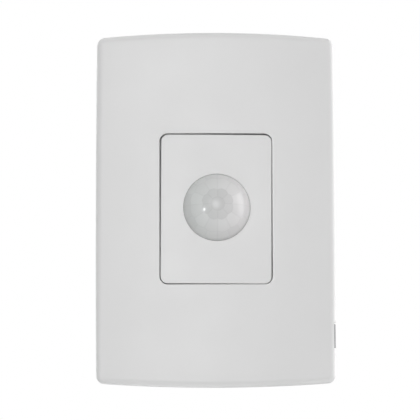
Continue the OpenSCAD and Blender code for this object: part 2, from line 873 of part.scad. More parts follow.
module terminal_housing(pole) {
    pocket = pole_pitch - 2 * side_wall;
    color("darkslategray") stand() translate([pole_x(pole), 0, 0]) difference() {
        box(
            [-pole_pitch / 2 + thread_air, block_y0, case_back_z],
            [pole_pitch / 2 - thread_air, block_y1, power_back_z]
        );
        box([-pocket / 2, cage_y0 - cage_air, web_z], [pocket / 2, pocket_y1, power_back_z + over]);
        translate([0, cage_y0 + cage_l / 2, 0]) {
            rod(clamp_screw_d + 2 * screw_air, clamp_head_z - over, web_z + over);
            rod(clamp_head_d + 2 * screw_air, case_back_z - over, clamp_head_z);
        }
        translate([0, block_y0 - over, wire_z]) rotate([-90, 0, 0])
            cylinder(d = wire_d, h = wire_wall + over + cage_air / 2);
    }
}

module terminal_cage(pole) {
    color("goldenrod") stand() translate([pole_x(pole), cage_y0, 0]) difference() {
        box([-cage_w / 2, 0, cage_top_z], [cage_w / 2, cage_l, cage_floor_z]);
        box(
            [-cage_w / 2 + cage_wall, -over, cage_top_z + cage_top_t],
            [cage_w / 2 - cage_wall, cage_l + over, cage_floor_z - cage_wall]
        );
        translate([0, cage_l / 2, 0])
            rod(clamp_screw_d + 2 * thread_air, cage_top_z - over, cage_top_z + cage_top_t + over);
    }
}

module terminal_screw(pole) {
    slot_t = 0.8;
    color("silver") stand() translate([pole_x(pole), cage_y0 + cage_l / 2, 0]) difference() {
        union() {
            rod(clamp_head_d, clamp_head_z - clamp_head_h, clamp_head_z);
            rod(clamp_screw_d, clamp_head_z - over / 2, clamp_tip_z);
        }
        translate([0, 0, clamp_head_z - clamp_head_h])
            cube([clamp_head_d + over, slot_t, clamp_head_h], center = true);
    }
}

module terminal_bars() {
    color("goldenrod") stand() for (pole = [1:3]) translate([pole_x(pole), 0, 0]) {
        box([-bar_w / 2, cage_y0, bar_z - bar_t], [bar_w / 2, leg_y0 + bar_t, bar_z]);
        box([-bar_w / 2, leg_y0, bar_z - bar_t], [bar_w / 2, leg_y0 + bar_t, power_back_z]);
    }
}

cover_plate();
support_frame();
box_screws();
module_bezel();
fresnel_lens();
lens_retainer();
retainer_screws();
rear_case();
case_screws();
board_spacers();
sensor_board();
pir_spacer();
pir_can();
pir_window();
pir_leads();
light_cell();
signal_chip();
chip_components();
trimmer_base(-1);  // time_trimmer_base
trimmer_dial(-1);  // time_trimmer_dial
trimmer_base(1);  // lux_trimmer_base
trimmer_dial(1);  // lux_trimmer_dial
board_header();
header_pins();
power_board();
relay();
dropper_capacitor();
smoothing_capacitor();
surge_varistor();
fuse();
rectifier_diodes();
power_resistors();
driver_transistor();
terminal_bars();
terminal_housing(1);  // terminal_housing_1
terminal_housing(2);  // terminal_housing_2
terminal_housing(3);  // terminal_housing_3
terminal_cage(1);  // terminal_cage_1
terminal_cage(2);  // terminal_cage_2
terminal_cage(3);  // terminal_cage_3
terminal_screw(1);  // terminal_screw_1
terminal_screw(2);  // terminal_screw_2
terminal_screw(3);  // terminal_screw_3
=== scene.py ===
# Motion sensor light switch: looks, light and camera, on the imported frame.
# Sizes are in millimetres as the part is drawn: x to the right, y up the wall, z out of the wall.
import json
import math

import bmesh
import bpy
from mathutils import Matrix, Vector


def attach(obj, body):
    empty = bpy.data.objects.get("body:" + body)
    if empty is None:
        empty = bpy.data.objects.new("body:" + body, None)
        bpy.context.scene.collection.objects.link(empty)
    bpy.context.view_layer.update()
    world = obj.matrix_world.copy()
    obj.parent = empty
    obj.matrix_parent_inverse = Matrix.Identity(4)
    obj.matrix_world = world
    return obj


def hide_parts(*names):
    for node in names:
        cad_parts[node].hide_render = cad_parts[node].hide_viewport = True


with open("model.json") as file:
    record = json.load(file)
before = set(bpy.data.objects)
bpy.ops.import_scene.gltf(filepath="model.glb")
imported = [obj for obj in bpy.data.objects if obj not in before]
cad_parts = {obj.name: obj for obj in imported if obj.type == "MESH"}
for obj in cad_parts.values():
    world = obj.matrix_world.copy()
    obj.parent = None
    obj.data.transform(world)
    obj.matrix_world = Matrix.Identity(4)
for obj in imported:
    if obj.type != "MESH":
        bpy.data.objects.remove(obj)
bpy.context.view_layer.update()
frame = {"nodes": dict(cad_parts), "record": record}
scene = bpy.context.scene
scene.view_settings.view_transform = "Standard"

# Sizes that the part's source gives
PLATE_W, PLATE_H, PLATE_R = 80.0, 118.4, 2.6
END_BOW, SIDE_BOW = 1.45, 0.3
PLATE_DEPTH, PLATE_BULGE, PLATE_WALL = 9.5, 3.4, 2.0
FRONT_R = ((PLATE_W / 2) ** 2 + PLATE_BULGE ** 2) / (2 * PLATE_BULGE)
FACE_W, FACE_H, FACE_R, FACE_WALL = 36.8, 49.6, 2.3, 1.6
WINDOW_GAP, RIM_T, RIM_Z = 0.35, 1.2, 3.9
POST_D, POST_X, POST_Y, POST_FOOT = 4.0, 27.4, 47.2, 1.0
PRY_Y, PRY_HALF, PRY_TOP, PRY_RECESS_X = -42.1, 4.4, 1.6, 39.448
FRAME_T, FLANGE_Z = 2.2, 3.7
FLANGE_W, FLANGE_H, FLANGE_R = 44.0, 70.0, 4.0
LENS_R, LENS_T, LENS_Z, LENS_RISE = 11.2, 0.7, 8.00668, 0.5
LENS_HOLE_R, LENS_LIP_R, LENS_SEAT_R = 11.3, 12.8, 13.8
LENS_SEAT_Z, LENS_BACK_Z = 7.29514, 6.19514
RETAINER_Y, RETAINER_BOSS_D, RETAINER_HOLE_D = 16.3, 4.6, 2.1
BOSS_X, BOSS_Y, BOSS_D, BOSS_HOLE_D, BOSS_FOOT = 15.5, 28.1, 5.2, 2.7, -1.29332
DIAL_X, DIAL_Y, DIAL_HOLE_R = 6.5, -27.9, 2.7
BOX_PITCH, BOX_HEAD_D, BOX_HEAD_H, BOX_NECK_D = 83.3, 7.0, 2.2, 4.1
BOX_THREAD_D, BOX_LEN, BOX_TIP, BOX_NECK_END = 3.5, 20.0, 1.0, -0.4

# Rounding that the eye sees but the fits do not: the plate's is wider than it is deep
PLATE_EDGE, PLATE_EDGE_DROP, WINDOW_EDGE, FACE_EDGE, HOLE_EDGE = 2.3, 1.5, 0.18, 0.22, 0.05
# Rows across the plate's front and back, and across the front and back of the face
FRONT_ROWS, BACK_ROWS, FACE_ROWS, SEAT_ROWS = 26, 12, 20, 6
# Least corner radius of loops inside the outlines of plate and face
PLATE_LEAST_R, FACE_LEAST_R = 0.6, 0.3
# Chamfers of the plate's foot, the flange, the bosses and the lens's lip
FOOT_CHAMFER, FLANGE_EDGE, BOSS_CHAMFER, LIP_CHAMFER = 0.2, 0.25, 0.2, 0.15
# Posts: chamfer of the foot and flare of the root, each as width and height, and the reach into the plate's wall
POST_CHAMFER, POST_FLARE, POST_REACH = (0.4, 0.5), (0.35, 0.5), 0.8
# How far under the flange's front the bosses end, and how far the notch's cutter starts behind the plate
BOSS_END, CUT_CLEAR = 0.5, 1.0
# How much deeper than its source the notch over the pry tab is cut
PRY_DEEPER = 0.15
# Marks round the dials: half their swing in degrees, how many, both ends of the first and what each next one gains
MARK_SWING, MARK_COUNT, MARK_NEAR, MARK_FAR, MARK_GAIN = 135.0, 9, 3.5, 3.9, 0.09
# Half the width of a mark, height of its sides and of its top, and the share by which the top is smaller
MARK_HALF, MARK_SIDE, MARK_TOP, MARK_INSET = 0.11, 0.1, 0.15, 0.15
# Box screws: height and chamfer of the head's rim, half the slot's width and its floor above the head's seat
HEAD_RIM, HEAD_CHAMFER, SLOT_HALF, SLOT_FLOOR = 0.7, 0.15, 0.5, 1.1
# Reach of the neck into the head, its chamfer, and the thread's pitch and depth
NECK_REACH, NECK_CHAMFER, THREAD_PITCH, THREAD_DEPTH = 0.4, 0.2, 0.6, 0.32
# Slope of the thread's flanks, how far the flat crest takes from them, and rings to a pitch
FLANK_SLOPE, FLANK_CREST, THREAD_RINGS = 1.5, 0.25, 10
# Steps over the crown of a screw's head
CROWN_STEPS = 8
# How the face sits in the window, in degrees and millimetres
FACE_SKEW, FACE_SHIFT = -0.3, (0.06, -0.12)
# How far the lens sits to the right in the face, and how closely the hole's edge fits it
LENS_SHIFT, HOLE_SNUG = 0.2, 0.12
LENS_X, LENS_Y = FACE_SHIFT[0] + LENS_SHIFT, LENS_RISE + FACE_SHIFT[1]

# Lenslets: reach from the pole along the dome, how many in the ring, and how far each bulges
LENS_RINGS = ((2.3, 1, 0.0), (5.2, 8, 0.6), (10.2, 12, 0.7), (14.5, 16, 0.7), (30.0, 20, 0.0))
# Level of each ring, the middle one set low as painted shade that offsets the lamps' reflection there; how far its
# lenslets spread, and the share by which the lines between them are darker
LENS_LEVELS, LENS_SPREAD, LENS_LINE_DARK = (0.64, 0.69, 0.76, 0.75, 0.745), 0.05, 0.06
# Share by which painted shade darkens the dome towards its rim, where little light comes through from inside, and
# the slopes between which it does
LENS_RIM_SHADE, LENS_RIM_SHADE_FROM, LENS_RIM_SHADE_TO = 0.08, 0.4, 0.15
# Tilt of the pole in degrees, width and depth of the lines, and pitch of the fine rings
LENS_TILT, LENS_LINE, LENS_GROOVE, LENS_PITCH = 1.7, 0.16, 0.006, 0.4
# Painted tint of reflected surroundings, for each channel: share on the dome's left side, and towards its right;
# then how soon it changes
LENS_REFLECTED_TINT, LENS_REFLECTED_TINT_SLOPE = ((-0.02, 0.01), (0.005, -0.005), (-0.005, 0.0)), 1.6
# Points round the dome, rows down its outside and rows up its inside
LENS_AROUND, LENS_DOWN, LENS_INSIDE = 240, 84, 30
# Distance to the edge, where a lenslet has none on that side
NO_EDGE = 9.0

# Camera that fits the photo's outline, window and lens, in degrees, metres and pixels
IMAGE, SENSOR, CAM_CLIP = 420, 36.0, (0.01, 20.0)
CAM_AZ, CAM_EL, CAM_FAR, CAM_ROLL = -1.6, -5.4, 0.6946, -0.15
CAM_FOCAL, CAM_CENTRE = 2065.6, (215.3, 211.1)
# Light from all round, and the floor's height, half its side and its glow where it is seen
AMBIENT, FLOOR_Z, FLOOR_HALF, FLOOR_GLOW = 0.3, -1.1, 20.0, 0.5
# Range that most of a noise lies in
NOISE_LOW, NOISE_HIGH = 0.3, 0.7
# Metres within which points are one, on new pieces and on solids; degrees up to which faces are one, and from which
# an edge is softened
WELD, SOLID_WELD, FLAT_ANGLE, SOFT_ANGLE = 1e-8, 1e-6, 0.5, 40


# Mesh helpers

def row(p):
    """From the drawing's millimetres to the frame's metres."""
    return Vector((p[0], -p[2], p[1])) * 0.001


def front_z(x, depth=0.0):
    """Height of the bowed front, or of a parallel face that lies deeper."""
    return PLATE_DEPTH - FRONT_R + math.sqrt((FRONT_R - depth) ** 2 - x * x)


def bridge(bm, low, high):
    """Faces between two rings of vertices of equal count."""
    for i, corner in enumerate(low):
        j = (i + 1) % len(low)
        bm.faces.new((corner, low[j], high[j], high[i]))


def skin(bm, rings, closed=False):
    """Faces between rings of equal count; closed joins the last ring to the first."""
    rows = [[bm.verts.new(row(p)) for p in ring] for ring in rings]
    ends = rows[1:] + rows[:1] if closed else rows[1:]
    for low, high in zip(rows, ends):
        bridge(bm, low, high)


def turn(bm, profile, x=0.0, y=0.0, count=48, closed=False):
    """Turns a profile of (radius, z) round an axis along z."""
    angles = [2 * math.pi * i / count for i in range(count)]
    skin(bm, [[(x + r * math.cos(a), y + r * math.sin(a), z) for a in angles] for r, z in profile], closed)


def block(bm, low, high):
    """A box between two corners."""
    (x0, y0, z0), (x1, y1, z1) = low, high
    loop = ((x0, y0), (x1, y0), (x1, y1), (x0, y1))
    verts = [[bm.verts.new(row((x, y, z))) for x, y in loop] for z in (z0, z1)]
    bm.faces.new(verts[0])
    bm.faces.new(verts[1])
    for i in range(4):
        j = (i + 1) % 4
        bm.faces.new((verts[0][i], verts[0][j], verts[1][j], verts[1][i]))


def round_loop(half_w, half_h, r, corner=8, wide=36, tall=48):
    """Points round a rectangle with round corners, as many for every size."""
    arcs = []
    for k, (sx, sy) in enumerate(((1, 1), (-1, 1), (-1, -1), (1, -1))):
        angles = [math.radians(90 * k + 90 * i / corner) for i in range(corner + 1)]
        arcs.append([(sx * (half_w - r) + r * math.cos(a), sy * (half_h - r) + r * math.sin(a)) for a in angles])
    loop = []
    for k, arc in enumerate(arcs):
        (x0, y0), (x1, y1) = arc[-1], arcs[(k + 1) % 4][0]
        steps = tall if k % 2 else wide
        loop += arc + [(x0 + (x1 - x0) * i / steps, y0 + (y1 - y0) * i / steps) for i in range(1, steps)]
    return loop


def plate_loop(inset):
    """Outline of the plate, its four edges bent outwards."""
    half_w, half_h = PLATE_W / 2, PLATE_H / 2
    loop = round_loop(half_w - inset, half_h - inset, max(PLATE_R - inset, PLATE_LEAST_R))
    return [(x * (1 - SIDE_BOW / half_w * (y / half_h) ** 2), y * (1 - END_BOW / half_h * (x / half_w) ** 2))
            for x, y in loop]


def between(a, b, t):
    """The loop a share t of the way from loop a to loop b."""
    return [(p[0] + (q[0] - p[0]) * t, p[1] + (q[1] - p[1]) * t) for p, q in zip(a, b)]


def lift(loop, z):
    """A loop at a height, or at a height that a function gives for each x."""
    return [(x, y, z(x) if callable(z) else z) for x, y in loop]


def rounded(at, edge, top, steps=5, deep=None):
    """Rings over a rounded edge: at(inset) gives the loop, top(x) the height of the face that it runs into."""
    rings = []
    for i in range(steps + 1):
        a = math.pi / 2 * i / steps
        drop = (deep or edge) * (1 - math.sin(a))
        rings.append(lift(at(edge * (1 - math.cos(a))), lambda x, d=drop: top(x) - d))
    return rings


def settle(bm, mesh):
    """Writes a bmesh to a mesh, with points that meet made one and normals outwards."""
    bmesh.ops.remove_doubles(bm, verts=bm.verts, dist=WELD)
    bmesh.ops.recalc_face_normals(bm, faces=bm.faces)
    bm.to_mesh(mesh)
    bm.free()


def reopen(obj):
    """A bmesh of what an object has so far."""
    bm = bmesh.new()
    bm.from_mesh(obj.data)
    return bm


def object_of(name, bm):
    """A linked object from a bmesh."""
    mesh = bpy.data.meshes.new(name)
    settle(bm, mesh)
    obj = bpy.data.objects.new(name, mesh)
    scene.collection.objects.link(obj)
    return obj


def cut(obj, cutter):
    """Takes the cutter's shape out of an object."""
    tool = object_of("cutter", cutter)
    change = obj.modifiers.new("cut", "BOOLEAN")
    change.operation, change.solver, change.object = "DIFFERENCE", "EXACT", tool
    shaped = obj.evaluated_get(bpy.context.evaluated_depsgraph_get())
    mesh = bpy.data.meshes.new_from_object(shaped)
    obj.modifiers.clear()
    obj.data = mesh
    bpy.data.objects.remove(tool)


def dress(obj, body, slot, node, sharp=35):
    """Gives a new piece its shading, finish and body, and lets it stand for its node."""
    obj.data.shade_smooth()
    obj.data.set_sharp_from_angle(angle=math.radians(sharp))
    obj.data.materials.clear()
    obj.data.materials.append(MATERIALS[slot])
    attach(obj, body)
    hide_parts(node)


# Materials

def shader(name, **sockets):
    """A new material and its Principled shader, with plain values on the shader's own sockets."""
    mat = bpy.data.materials.new(name)
    mat.use_nodes = True
    bsdf = mat.node_tree.nodes["Principled BSDF"]
    for socket, value in sockets.items():
        bsdf.inputs[socket.replace("_", " ")].default_value = value
    return mat, bsdf


def node(mat, kind, **values):
    """A new node with its input values."""
    made = mat.node_tree.nodes.new("ShaderNode" + kind)
    for socket, value in values.items():
        made.inputs[socket.replace("_", " ")].default_value = value
    return made


def noise(mat, size, stretch=(1, 1, 1), detail=3.0):
    """Noise whose features are about this many millimetres wide."""
    place = node(mat, "TexCoord")
    grid = node(mat, "Mapping", Scale=stretch)
    made = node(mat, "TexNoise", Scale=1000 / size, Detail=detail)
    mat.node_tree.links.new(place.outputs["Object"], grid.inputs["Vector"])
    mat.node_tree.links.new(grid.outputs["Vector"], made.inputs["Vector"])
    return made.outputs["Fac"]


def ramp(mat, factor, *stops):
    """Colours along a factor, given as (place, colour)."""
    made = node(mat, "ValToRGB")
    cells = made.color_ramp.elements
    while len(cells) < len(stops):
        cells.new(0.5)
    for cell, (place, colour) in zip(cells, stops):
        cell.position, cell.color = place, (*colour, 1)
    mat.node_tree.links.new(factor, made.inputs["Fac"])
    return made.outputs["Color"]


def spread(mat, factor, socket, low, high):
    """Drives a shader socket between two values."""
    made = node(mat, "MapRange", From_Min=NOISE_LOW, From_Max=NOISE_HIGH, To_Min=low, To_Max=high)
    mat.node_tree.links.new(factor, made.inputs["Value"])
    mat.node_tree.links.new(made.outputs["Result"], socket)


def relief(mat, bsdf, height, depth):
    """Bump of this many millimetres."""
    made = node(mat, "Bump", Strength=1.0, Distance=depth / 1000)
    mat.node_tree.links.new(height, made.inputs["Height"])
    mat.node_tree.links.new(made.outputs["Normal"], bsdf.inputs["Normal"])


def tinted(colour, share):
    """A colour made lighter or darker by a share."""
    return [c * share for c in colour]


def moulded(name, colour, rough, grain=0.5, depth=0.004, uneven=0.02, cloud=14, **sockets):
    """Moulded plastic: spark-eroded grain, and a colour and gloss that wander a little."""
    mat, bsdf = shader(name, **sockets)
    drift = noise(mat, cloud, detail=2.0)
    colours = ramp(mat, drift, (NOISE_LOW, tinted(colour, 1 - uneven)), (NOISE_HIGH, tinted(colour, 1 + uneven)))
    mat.node_tree.links.new(colours, bsdf.inputs["Base Color"])
    spread(mat, noise(mat, cloud / 3), bsdf.inputs["Roughness"], rough - 0.04, rough + 0.04)
    relief(mat, bsdf, noise(mat, grain), depth)
    return mat


def metal(name, colour, rough, stretch=(1, 1, 1), scratch=0.35, depth=0.003, tarnish=0.9):
    """Plated or drawn metal: fine drawn lines and slight tarnish."""
    mat, bsdf = shader(name, Metallic=1.0)
    stain = noise(mat, 2.5, detail=4.0)
    colours = ramp(mat, stain, (0.35, tinted(colour, tarnish)), (0.65, colour))
    mat.node_tree.links.new(colours, bsdf.inputs["Base Color"])
    lines = noise(mat, scratch, stretch)
    spread(mat, lines, bsdf.inputs["Roughness"], rough - 0.07, rough + 0.07)
    relief(mat, bsdf, lines, depth)
    return mat


def circuit_board(name):
    """Solder mask over copper: lighter tracks in a grid of cells, and tinned pads."""
    mat, bsdf = shader(name, Roughness=0.32)
    place = node(mat, "TexCoord")
    cells = node(mat, "TexVoronoi", Scale=1000 / 5.0, Randomness=0.75)
    cells.feature, cells.distance = "F1", "MANHATTAN"
    mat.node_tree.links.new(place.outputs["Object"], cells.inputs["Vector"])
    tracks = ramp(mat, cells.outputs["Distance"], (0.1, (0.62, 0.6, 0.55)), (0.14, (0.02, 0.17, 0.07)),
                  (0.3, (0.03, 0.25, 0.1)), (0.33, (0.012, 0.12, 0.045)), (0.55, (0.015, 0.14, 0.055)),
                  (0.58, (0.03, 0.25, 0.1)))
    mat.node_tree.links.new(tracks, bsdf.inputs["Base Color"])
    relief(mat, bsdf, cells.outputs["Distance"], 0.03)
    return mat


def banded(name, colour, band, size, rough=0.3):
    """Coated part with printed bands across its length."""
    mat, bsdf = shader(name, Roughness=rough)
    place = node(mat, "TexCoord")
    wave = node(mat, "TexWave", Scale=1000 / size, Distortion=0.4)
    wave.bands_direction = "Z"
    mat.node_tree.links.new(place.outputs["Object"], wave.inputs["Vector"])
    colours = ramp(mat, wave.outputs["Fac"], (0.0, band), (0.12, band), (0.16, colour), (1.0, tinted(colour, 0.94)))
    mat.node_tree.links.new(colours, bsdf.inputs["Base Color"])
    relief(mat, bsdf, noise(mat, 0.6), 0.01)
    return mat


def milky(name):
    """Translucent lens plastic: the colour comes from the dome's own lenslets, with painted shade towards the rim
    and a painted reflection tint across the dome, and fine rings lie in each.
    """
    mat, bsdf = shader(name, Roughness=0.2, IOR=1.5, Specular_IOR_Level=0.28, Transmission_Weight=0.06)
    shade = node(mat, "VertexColor")
    shade.layer_name = "lenslet"
    mat.node_tree.links.new(shade.outputs["Color"], bsdf.inputs["Base Color"])
    rings = node(mat, "Attribute")
    rings.attribute_name = "ring"
    wave = node(mat, "Math")
    wave.operation = "SINE"
    mat.node_tree.links.new(rings.outputs["Fac"], wave.inputs[0])
    relief(mat, bsdf, wave.outputs["Value"], 0.002)
    return mat


WHITE = (0.735, 0.735, 0.735)
MATERIALS = {
    "plate_white": moulded("plate_white", WHITE, 0.42, grain=0.45, depth=0.0025, uneven=0.012, cloud=30),
    # Frame grey: partly the frame's own colour, partly darkened as painted shade so that the pry tab in the plate's
    # notch shows as a dark line
    "frame_grey": moulded("frame_grey", (0.3, 0.31, 0.32), 0.55, depth=0.006),
    "case_grey": moulded("case_grey", (0.62, 0.62, 0.61), 0.52, depth=0.006),
    "inner_white": moulded("inner_white", (0.68, 0.68, 0.66), 0.5),
    "chip_black": moulded("chip_black", (0.018, 0.018, 0.02), 0.55, grain=0.2),
    "ceramic_tan": moulded("ceramic_tan", (0.3, 0.22, 0.14), 0.5, grain=0.2, uneven=0.08, cloud=2),
    "trimmer_blue": moulded("trimmer_blue", (0.02, 0.06, 0.28), 0.4, grain=0.3),
    "dial_white": moulded("dial_white", (0.72, 0.72, 0.7), 0.45, grain=0.3),
    "relay_blue": moulded("relay_blue", (0.02, 0.07, 0.24), 0.3, grain=0.8),
    "capacitor_yellow": moulded("capacitor_yellow", (0.5, 0.28, 0.02), 0.28, grain=0.9, uneven=0.05),
    "varistor_blue": moulded("varistor_blue", (0.01, 0.09, 0.2), 0.25, grain=0.7, depth=0.02, uneven=0.06),
    "fuse_brown": moulded("fuse_brown", (0.09, 0.035, 0.015), 0.3, grain=0.8),
    "terminal_grey": moulded("terminal_grey", (0.055, 0.06, 0.066), 0.5, depth=0.006),
    "cell_tan": banded("cell_tan", (0.42, 0.2, 0.09), (0.62, 0.5, 0.36), 1.1),
    "resistor_tan": banded("resistor_tan", (0.45, 0.3, 0.16), (0.12, 0.04, 0.02), 2.2),
    "capacitor_dark": banded("capacitor_dark", (0.012, 0.014, 0.05), (0.3, 0.3, 0.34), 9.0, 0.25),
    "zinc_steel": metal("zinc_steel", (0.56, 0.56, 0.53), 0.3, (1, 1, 6)),
    "can_steel": metal("can_steel", (0.6, 0.59, 0.56), 0.24, (1, 8, 1)),
    "lead_metal": metal("lead_metal", (0.62, 0.52, 0.3), 0.25, (1, 6, 1)),
    "contact_brass": metal("contact_brass", (0.62, 0.42, 0.13), 0.28, (1, 1, 6), tarnish=0.75),
    "filter_dark": moulded("filter_dark", (0.02, 0.02, 0.026), 0.12, grain=1.5, depth=0.001),
    "board_green": circuit_board("board_green"),
    "milky_lens": milky("milky_lens"),
}


# New pieces in place of plain solids

def window(grow):
    """Outline of the window, grown by this much."""
    gap = WINDOW_GAP + grow
    return round_loop(FACE_W / 2 + gap, FACE_H / 2 + gap, FACE_R + gap)


def make_plate():
    """The cover: a hollow bowed shell with a window, the rim behind it and four posts."""
    outer, inner = plate_loop(PLATE_EDGE), window(WINDOW_EDGE)
    rings = [lift(plate_loop(FOOT_CHAMFER), 0.0), lift(plate_loop(0.0), FOOT_CHAMFER)]
    rings += rounded(plate_loop, PLATE_EDGE, front_z, steps=10, deep=PLATE_EDGE_DROP)
    rings += [lift(between(outer, inner, i / FRONT_ROWS), front_z) for i in range(1, FRONT_ROWS)]
    rings += reversed(rounded(window, WINDOW_EDGE, front_z, steps=3))
    rings += [lift(window(0.0), RIM_Z + FOOT_CHAMFER), lift(window(FOOT_CHAMFER), RIM_Z), lift(window(RIM_T), RIM_Z)]
    deep = lambda x: front_z(x, PLATE_WALL)
    rim, wall = window(RIM_T), plate_loop(PLATE_WALL)
    rings += [lift(between(rim, wall, i / BACK_ROWS), deep) for i in range(BACK_ROWS + 1)]
    rings += [lift(wall, FOOT_CHAMFER), lift(plate_loop(PLATE_WALL - FOOT_CHAMFER), 0.0)]
    bm = bmesh.new()
    skin(bm, rings, closed=True)
    obj = object_of("cover_shell", bm)
    for x, top in ((PLATE_W / 4, PRY_TOP), (PRY_RECESS_X - PRY_DEEPER, PLATE_DEPTH)):
        notch = bmesh.new()
        block(notch, (x, PRY_Y - PRY_HALF, -CUT_CLEAR), (PLATE_W, PRY_Y + PRY_HALF, top))
        cut(obj, notch)
    posts = reopen(obj)
    (cut_w, cut_h), (flare_w, flare_h) = POST_CHAMFER, POST_FLARE
    for x in (-POST_X, POST_X):
        for y in (-POST_Y, POST_Y):
            r, root = POST_D / 2, front_z(x, PLATE_WALL)
            turn(posts, [(0, POST_FOOT), (r - cut_w, POST_FOOT), (r, POST_FOOT + cut_h), (r, root - flare_h),
                         (r + flare_w, root), (r + flare_w, root + POST_REACH), (0, root + POST_REACH)], x, y)
    settle(posts, obj.data)
    dress(obj, "cover", "plate_white", "cover_plate")


def face_loop(inset):
    """Outline of the module's face, which sits a little crooked in the window."""
    a = math.radians(FACE_SKEW)
    loop = round_loop(FACE_W / 2 - inset, FACE_H / 2 - inset, max(FACE_R - inset, FACE_LEAST_R))
    right, up = FACE_SHIFT
    return [(right + x * math.cos(a) - y * math.sin(a), up + x * math.sin(a) + y * math.cos(a)) for x, y in loop]


def flange_loop(inset):
    """Outline of the flange behind the face."""
    return round_loop(FLANGE_W / 2 - inset, FLANGE_H / 2 - inset, FLANGE_R - inset)


def circle_like(loop, r):
    """A circle round the axis of the lens, with its points at the same angles as those of a loop."""
    away = [(x - LENS_X, y - LENS_Y) for x, y in loop]
    return [(LENS_X + r * x / math.hypot(x, y), LENS_Y + r * y / math.hypot(x, y)) for x, y in away]


def add_mark(bm, x, angle, far):
    """A raised mark beside a dial, which points away from the dial's axis at an angle in degrees."""
    a = math.radians(angle)
    along, across = Vector((math.cos(a), math.sin(a))), Vector((-math.sin(a), math.cos(a)))
    corners = ((MARK_NEAR, -MARK_HALF), (far, -MARK_HALF), (far, MARK_HALF), (MARK_NEAR, MARK_HALF))
    loop = [Vector((x, DIAL_Y)) + along * u + across * v for u, v in corners]
    middle = Vector((x, DIAL_Y)) + along * (MARK_NEAR + far) / 2
    inside = [q + (middle - q) * MARK_INSET for q in loop]
    foot, side, top = FLANGE_Z - MARK_SIDE, FLANGE_Z + MARK_SIDE, FLANGE_Z + MARK_TOP
    skin(bm, [lift([middle] * 4, foot), lift(loop, foot), lift(loop, side), lift(inside, top),
              lift([middle] * 4, top)])


def make_bezel():
    """The module's face with the lens hole, the flange behind it, bosses and the marks round the dials."""
    face = face_loop(FACE_EDGE)
    hole = lambda r: circle_like(face, r)
    rings = [lift(flange_loop(0.0), FRAME_T)]
    rings += rounded(flange_loop, FLANGE_EDGE, lambda x: FLANGE_Z, steps=3)
    rings += [lift(face_loop(-FLANGE_EDGE), FLANGE_Z), lift(face_loop(0.0), FLANGE_Z + FLANGE_EDGE)]
    rings += rounded(face_loop, FACE_EDGE, front_z, steps=4)
    snug = LENS_HOLE_R - HOLE_SNUG
    rings += [lift(between(face, hole(snug + HOLE_EDGE), i / FACE_ROWS), front_z) for i in range(1, FACE_ROWS + 1)]
    rings += [lift(hole(snug), lambda x: front_z(x) - HOLE_EDGE), lift(hole(LENS_HOLE_R), LENS_Z),
              lift(hole(LENS_HOLE_R), LENS_SEAT_Z), lift(hole(LENS_SEAT_R), LENS_SEAT_Z)]
    deep = lambda x: front_z(x, FACE_WALL)
    wall = face_loop(FACE_WALL)
    rings += [lift(between(hole(LENS_SEAT_R), wall, i / SEAT_ROWS), deep) for i in range(SEAT_ROWS + 1)]
    rings += [lift(wall, FRAME_T)]
    bm = bmesh.new()
    skin(bm, rings, closed=True)
    obj = object_of("bezel_shell", bm)
    holes = bmesh.new()
    wide, low, high = DIAL_HOLE_R + 2 * FLANGE_EDGE, FLANGE_Z - FLANGE_EDGE, FLANGE_Z + FLANGE_EDGE
    for x in (-DIAL_X, DIAL_X):
        turn(holes, [(0, 0), (DIAL_HOLE_R, 0), (DIAL_HOLE_R, low), (wide, high), (0, high)], x, DIAL_Y, count=64)
    cut(obj, holes)
    bm = reopen(obj)
    for y in (LENS_Y - RETAINER_Y, LENS_Y + RETAINER_Y):
        r, hole_r = RETAINER_BOSS_D / 2, RETAINER_HOLE_D / 2
        turn(bm, [(hole_r, LENS_BACK_Z), (r, LENS_BACK_Z), (r, front_z(0, FACE_WALL / 2)),
                  (hole_r, front_z(0, FACE_WALL / 2))], LENS_X, y, closed=True)
    for x in (-BOSS_X, BOSS_X):
        for y in (-BOSS_Y, BOSS_Y):
            r, hole_r, top = BOSS_D / 2, BOSS_HOLE_D / 2, FLANGE_Z - BOSS_END
            turn(bm, [(hole_r, BOSS_FOOT), (r - BOSS_CHAMFER, BOSS_FOOT), (r, BOSS_FOOT + BOSS_CHAMFER), (r, top),
                      (hole_r, top)], x, y, closed=True)
    for x in (-DIAL_X, DIAL_X):
        for i in range(MARK_COUNT):
            add_mark(bm, x, 90 + MARK_SWING - i * 2 * MARK_SWING / (MARK_COUNT - 1), MARK_FAR + MARK_GAIN * i)
    settle(bm, obj.data)
    dress(obj, "base", "plate_white", "module_bezel")


def lenslet(d):
    """Ring, number, distance to the edge and distance to the middle of the lenslet that a direction meets."""
    tilt = math.radians(LENS_TILT)
    pole, up = Vector((0, math.sin(tilt), math.cos(tilt))), Vector((0, math.cos(tilt), -math.sin(tilt)))
    away = math.acos(max(-1.0, min(1.0, d.dot(pole))))
    out, turned = LENS_R * away, math.atan2(d.dot(up), d.x) - math.pi / 2
    inner = 0.0
    for ring, (reach, count, scallop) in enumerate(LENS_RINGS):
        share = turned * count / (2 * math.pi)
        outer = reach + scallop * (abs(math.sin(math.pi * share)) - 0.5) if count > 1 else reach
        if out < outer or ring == len(LENS_RINGS) - 1:
            arc = 2 * math.pi / count * LENS_R * math.sin(away)
            part = share % 1.0
            side = arc * min(part, 1 - part) if count > 1 else NO_EDGE
            edge = min(outer - out, out - inner if ring else NO_EDGE, side)
            if count == 1:
                return ring, 0, edge, out
            return ring, int(math.floor(share)), edge, math.hypot(out - (inner + outer) / 2, arc * (part - 0.5))
        inner = outer


def chance(ring, number):
    """A number from 0 to 1 for each lenslet, the same on each run."""
    return math.sin(12.9898 * (ring + 1) + 78.233 * (number + 1)) * 43758.5453 % 1.0


